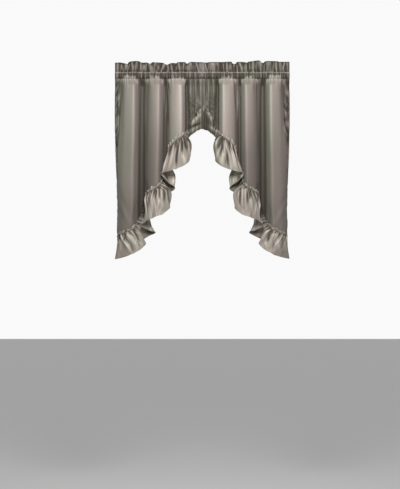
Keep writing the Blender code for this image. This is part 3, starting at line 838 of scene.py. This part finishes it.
def mesh_piece(name, side, grid, layers, across, down):
    """A mesh over the grid, mirrored for the left half, with its cloth measures as a UV map."""
    rows, columns = grid.shape[:2]
    points = grid.copy()
    sign = -1 if side == "left" else 1
    points[..., 0] = sign * (points[..., 0] + CENTRE_GAP / 2)
    i = np.arange(rows - 1)[:, None]
    j = np.arange(columns - 1)[None, :]
    a = i * columns + j
    b = a + columns
    quads = np.stack([a, a + 1, b + 1, b], axis=-1).reshape(-1, 4)
    if sign < 0:
        quads = quads[:, ::-1]
    mesh = bpy.data.meshes.new(name)
    mesh.vertices.add(rows * columns)
    mesh.vertices.foreach_set("co", points.astype(np.float32).ravel())
    mesh.loops.add(quads.size)
    mesh.loops.foreach_set("vertex_index", quads.ravel().astype(np.int32))
    mesh.polygons.add(len(quads))
    mesh.polygons.foreach_set("loop_start", np.arange(0, quads.size, 4, dtype=np.int32))
    mesh.update(calc_edges=True)
    mesh.validate()
    uv = mesh.uv_layers.new(name="cloth")
    flat = np.stack([np.broadcast_to(part, (rows, columns)) for part in (across, down)], axis=-1)
    uv.data.foreach_set("uv", flat.reshape(-1, 2)[quads.ravel()].astype(np.float32).ravel())
    for label, values in layers.items():
        layer = mesh.attributes.new(label, "FLOAT", "POINT")
        spread = np.broadcast_to(values, (rows, columns)).astype(np.float32)
        layer.data.foreach_set("value", spread.ravel())
    mesh.shade_smooth()
    thing = bpy.data.objects.new(name, mesh)
    bpy.context.scene.collection.objects.link(thing)
    return thing


def ridge_of(height):
    """Ridges and grooves of the fine folds, from 0 in a groove to 1 on a ridge."""
    front = -height
    return np.clip(0.5 + front / (7 * MM), 0, 1)


# The satin's sheen and gloss
SHEEN = 0.14
GLOSS = 0.3
# Rows of stitches: half width, turns in a metre (in radians), where a dash ends, how much darker
STITCH_WIDTH = 0.5 * MM
STITCH_RATE = 2 * math.pi / (3 * MM)
STITCH_END = -0.4
STITCH_SHADE = 0.3


# The satins: lit and shaded colour, between which the painted light and shade mix, contrast of the
# ridges' painted light, how light, stitches' level and seed
SATINS = {
    "heading": ((0.37, 0.332, 0.296), (0.036, 0.028, 0.02), 1.0, 1.0, 0.033, 0),
    "panel": ((0.45, 0.408, 0.368), (0.064, 0.056, 0.043), 0.6, 0.82, PANEL_TOP + 3 * MM, 1),
    "ruffle": ((0.52, 0.474, 0.416), (0.063, 0.055, 0.043), 1.0, 0.84, 0.104, 2),
}
SIDE_SEEDS = {"left": 0.0, "right": 5.3}
# The two casts, cool and warm, mixed by random patches, by place and as a painted tint of the light by
# which way the cloth faces
COOL = (0.94, 1.02, 0.93, 1)
WARM = (1.05, 0.98, 0.99, 1)


def satin(name, side):
    """Procedural satin: colour with painted light and shade in its folds, a tint partly painted by the
    light, fine weave, sheen and slubs.
    """
    light, dark, contrast, reach, level, seed = SATINS[name]
    seed += SIDE_SEEDS[side]
    material = bpy.data.materials.new(name + "_satin_" + side)
    material.use_nodes = True
    tree = material.node_tree
    nodes, links = tree.nodes, tree.links
    shader = nodes["Principled BSDF"]

    def node(kind, **values):
        made = nodes.new(kind)
        for key, value in values.items():
            setattr(made, key, value)
        return made

    def math_node(operation, a, b=None):
        made = node("ShaderNodeMath", operation=operation)
        for socket, value in zip(made.inputs, (a, b)):
            if value is None:
                continue
            if isinstance(value, (int, float)):
                socket.default_value = value
            else:
                links.new(value, socket)
        return made.outputs[0]

    def noise(vector, scale, detail):
        made = node("ShaderNodeTexNoise", noise_dimensions="3D")
        made.inputs["Scale"].default_value = scale
        made.inputs["Detail"].default_value = detail
        links.new(vector, made.inputs["Vector"])
        return made.outputs["Fac"]

    def scaled(vector, sizes):
        made = node("ShaderNodeMapping")
        made.inputs["Scale"].default_value = sizes
        made.inputs["Location"].default_value = (seed, seed * 0.37, 0)
        links.new(vector, made.inputs["Vector"])
        return made.outputs[0]

    def stitches(level):
        across, down = (place_on_cloth.outputs[axis] for axis in ("X", "Y"))
        row = math_node("COMPARE", down, level)
        row.node.inputs[2].default_value = STITCH_WIDTH
        wave = math_node("SINE", math_node("MULTIPLY", across, STITCH_RATE))
        dash = math_node("GREATER_THAN", wave, STITCH_END)
        return math_node("MULTIPLY", math_node("MULTIPLY", row, dash), STITCH_SHADE)

    cloth = node("ShaderNodeUVMap", uv_map="cloth").outputs[0]
    place_on_cloth = node("ShaderNodeSeparateXYZ")
    links.new(cloth, place_on_cloth.inputs[0])
    place = node("ShaderNodeTexCoord").outputs["Object"]
    ridge = node("ShaderNodeAttribute", attribute_name="ridge").outputs["Fac"]
    painted_shade = node("ShaderNodeAttribute", attribute_name="painted_shade").outputs["Fac"]

    tone = node("ShaderNodeMix", data_type="RGBA")
    tone.inputs["A"].default_value = (*dark, 1)
    tone.inputs["B"].default_value = (*light, 1)
    broad = noise(scaled(place, (1, 1, 0.35)), 9, 2)
    slub = noise(scaled(cloth, (60, 700, 1)), 1, 2)
    # Painted light and shade: lighter on ridges and darker in grooves and hollows, with random patches
    # and slubs; stitches darken their rows.
    share = math_node("MULTIPLY", math_node("SUBTRACT", ridge, 0.5), contrast)
    share = math_node("ADD", share, math_node("MULTIPLY", broad, 0.25))
    share = math_node("ADD", share, math_node("MULTIPLY", slub, 0.12))
    share = math_node("SUBTRACT", share, math_node("MULTIPLY", painted_shade, 0.62))
    clamp = node("ShaderNodeClamp")
    share = math_node("MULTIPLY", math_node("ADD", share, 0.57), reach)
    share = math_node("SUBTRACT", share, stitches(level))
    links.new(share, clamp.inputs[0])
    links.new(clamp.outputs[0], tone.inputs["Factor"])
    # Tint: random patches and the per-point tint, which is partly a painted tint of the light.
    tint_with_painted_light = node("ShaderNodeMix", data_type="RGBA")
    tint_with_painted_light.inputs["A"].default_value = COOL
    tint_with_painted_light.inputs["B"].default_value = WARM
    facing = node("ShaderNodeAttribute", attribute_name="tint_with_painted_light").outputs["Fac"]
    drift = math_node("MULTIPLY_ADD", noise(scaled(place, (1, 1, 0.5)), 6, 1), 2.0)
    drift.node.inputs[2].default_value = -1.1
    drift = math_node("ADD", drift, math_node("MULTIPLY", facing, 1.2))
    drift.node.use_clamp = True
    links.new(drift, tint_with_painted_light.inputs["Factor"])
    dye_and_painted_light = node("ShaderNodeMix", data_type="RGBA", blend_type="MULTIPLY")
    dye_and_painted_light.inputs["Factor"].default_value = 1
    links.new(tone.outputs["Result"], dye_and_painted_light.inputs["A"])
    links.new(tint_with_painted_light.outputs["Result"], dye_and_painted_light.inputs["B"])
    links.new(dye_and_painted_light.outputs["Result"], shader.inputs["Base Color"])
    shader.inputs["Sheen Weight"].default_value = SHEEN
    shader.inputs["Specular IOR Level"].default_value = GLOSS

    warp = noise(scaled(cloth, (2600, 90, 1)), 1, 1)
    weft = noise(scaled(cloth, (120, 2200, 1)), 1, 1)
    weave = math_node("ADD", math_node("MULTIPLY", warp, 0.6), math_node("MULTIPLY", weft, 0.4))
    rough = math_node("ADD", math_node("MULTIPLY", weft, 0.12), 0.47)
    links.new(rough, shader.inputs["Roughness"])
    bump = node("ShaderNodeBump")
    bump.inputs["Strength"].default_value = 0.35
    bump.inputs["Distance"].default_value = 0.0002
    links.new(weave, bump.inputs["Height"])
    links.new(bump.outputs[0], shader.inputs["Normal"])
    shader.inputs["Sheen Roughness"].default_value = 0.4
    shader.inputs["Metallic"].default_value = 0.15
    return material


def dress(name, side, grid, height, painted_shade, across, down, tint_with_painted_light=0.5):
    """Makes one piece, gives it its satin and lets it stand for its CAD node."""
    # Painted light in the layers: ridge lightens ridges and darkens grooves, the next darkens the colour
    # as painted shade (a painted highlight where below zero), and the last is a tint partly painted by
    # which way the cloth faces.
    layers = {"ridge": ridge_of(height), "painted_shade": painted_shade, "tint_with_painted_light": tint_with_painted_light}
    piece = mesh_piece(name + "_" + side + "_cloth", side, grid, layers, across, down)
    piece.data.materials.append(satin(name, side))
    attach(piece, "root")
    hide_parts(name + "_" + side)
    return piece


def build_half(side):
    """Heading, panel and ruffle of one half."""
    grid, height, painted_shade, s, v = heading_grid(side)
    heading = dress("heading", side, grid, height, painted_shade, s, v[:, None])

    grid, height, painted_shade, tint_with_painted_light, s, drop = panel_grid(side)
    drop = np.concatenate([drop, [drop[-1] + reach for reach, _ in ALLOWANCE]])
    panel = dress("panel", side, grid, height, painted_shade, s, drop, tint_with_painted_light)

    grid, height, painted_shade, u, run, v = ruffle_grid(side)
    grid, height, painted_shade = with_hem(grid, height, painted_shade, HEM_ROWS)
    v = np.concatenate([v, v[::-1][:HEM_ROWS]])
    tint_with_painted_light = np.interp(u, CAST_PLACES, RUFFLE_CASTS)
    ruffle = dress("ruffle", side, grid, height, painted_shade, run, v[:, None], tint_with_painted_light)


def plain(name, colour, roughness):
    """Plain material for the floor."""
    material = bpy.data.materials.new(name)
    material.use_nodes = True
    shader = material.node_tree.nodes["Principled BSDF"]
    shader.inputs["Base Color"].default_value = (*colour, 1)
    shader.inputs["Roughness"].default_value = roughness
    return material


# How far the floor reaches, and its level
FLOOR_REACH = 14.0
FLOOR_LEVEL = -2.05


def make_floor():
    """Wide pale floor far below the swags."""
    mesh = bpy.data.meshes.new("floor")
    turns = ((-1, -1), (1, -1), (1, 1), (-1, 1))
    corners = [(x * FLOOR_REACH, y * FLOOR_REACH, FLOOR_LEVEL) for x, y in turns]
    mesh.from_pydata(corners, [], [(0, 1, 2, 3)])
    mesh.materials.append(plain("floor_white", (0.82, 0.82, 0.82), 0.8))
    floor = bpy.data.objects.new("floor", mesh)
    bpy.context.scene.collection.objects.link(floor)


def area_light(name, place, aim, size, power):
    """Soft square light at a place, turned to a point."""
    data = bpy.data.lights.new(name, "AREA")
    data.shape = "RECTANGLE"
    data.size, data.size_y = size
    data.energy = power
    light = bpy.data.objects.new(name, data)
    light.location = place
    direction = np.array(aim) - np.array(place)
    light.rotation_mode = "QUATERNION"
    light.rotation_quaternion = Vector(direction).to_track_quat("-Z", "Y")
    bpy.context.scene.collection.objects.link(light)


# The key light in front of the swags: where it is, where it points, its sides and power
KEY_PLACE = (0.0, -1.25, 0.15)
KEY_AIM = (0, 0, -0.4)
KEY_SIZES = (0.4, 0.4)
KEY_POWER = 20
# Brightness of the room round the swags: in general, behind them, and overhead
ROOM_LIGHT = 0.1
WINDOW_LIGHT = 0.85
CEILING_LIGHT = 0.35


def make_world():
    """Dim room in front, a bright window wall behind and a pale ceiling."""
    world = bpy.data.worlds.new("studio")
    world.use_nodes = True
    nodes, links = world.node_tree.nodes, world.node_tree.links
    background = nodes["Background"]
    background.inputs["Color"].default_value = (1, 1, 1, 1)
    direction = nodes.new("ShaderNodeSeparateXYZ")
    links.new(nodes.new("ShaderNodeTexCoord").outputs["Generated"], direction.inputs[0])
    total = None
    parts = (("Y", 0.5, 0.85, WINDOW_LIGHT, ROOM_LIGHT), ("Z", 0.45, 0.8, CEILING_LIGHT, 0.0))
    for axis, start, end, strength, base in parts:
        ramp = nodes.new("ShaderNodeMapRange")
        ramp.interpolation_type = "SMOOTHSTEP"
        ramp.inputs["From Min"].default_value = start
        ramp.inputs["From Max"].default_value = end
        ramp.inputs["To Min"].default_value = base
        ramp.inputs["To Max"].default_value = base + strength
        links.new(direction.outputs[axis], ramp.inputs["Value"])
        if total is None:
            total = ramp.outputs[0]
            continue
        added = nodes.new("ShaderNodeMath")
        links.new(total, added.inputs[0])
        links.new(ramp.outputs[0], added.inputs[1])
        total = added.outputs[0]
    links.new(total, background.inputs["Strength"])
    bpy.context.scene.world = world
    bpy.context.scene.view_settings.view_transform = "Standard"


# The photograph's frame: its middle and height in the plane of the swags
VIEW_CENTRE = (-0.0104, -0.8466)
VIEW_HEIGHT = 489 * 4.633 * MM
VIEW_DISTANCE = 8.0


def make_camera():
    """Long lens straight ahead of the swags."""
    data = bpy.data.cameras.new("camera")
    data.sensor_fit = "VERTICAL"
    data.sensor_height = 36
    data.lens = 36 * VIEW_DISTANCE / VIEW_HEIGHT
    data.clip_end = 100
    camera = bpy.data.objects.new("camera", data)
    camera.location = (VIEW_CENTRE[0], -VIEW_DISTANCE, VIEW_CENTRE[1])
    camera.rotation_euler = (math.radians(90), 0, 0)
    bpy.context.scene.collection.objects.link(camera)
    bpy.context.scene.camera = camera


for half in ("left", "right"):
    build_half(half)
make_floor()
make_world()
area_light("key", KEY_PLACE, KEY_AIM, KEY_SIZES, KEY_POWER)
make_camera()
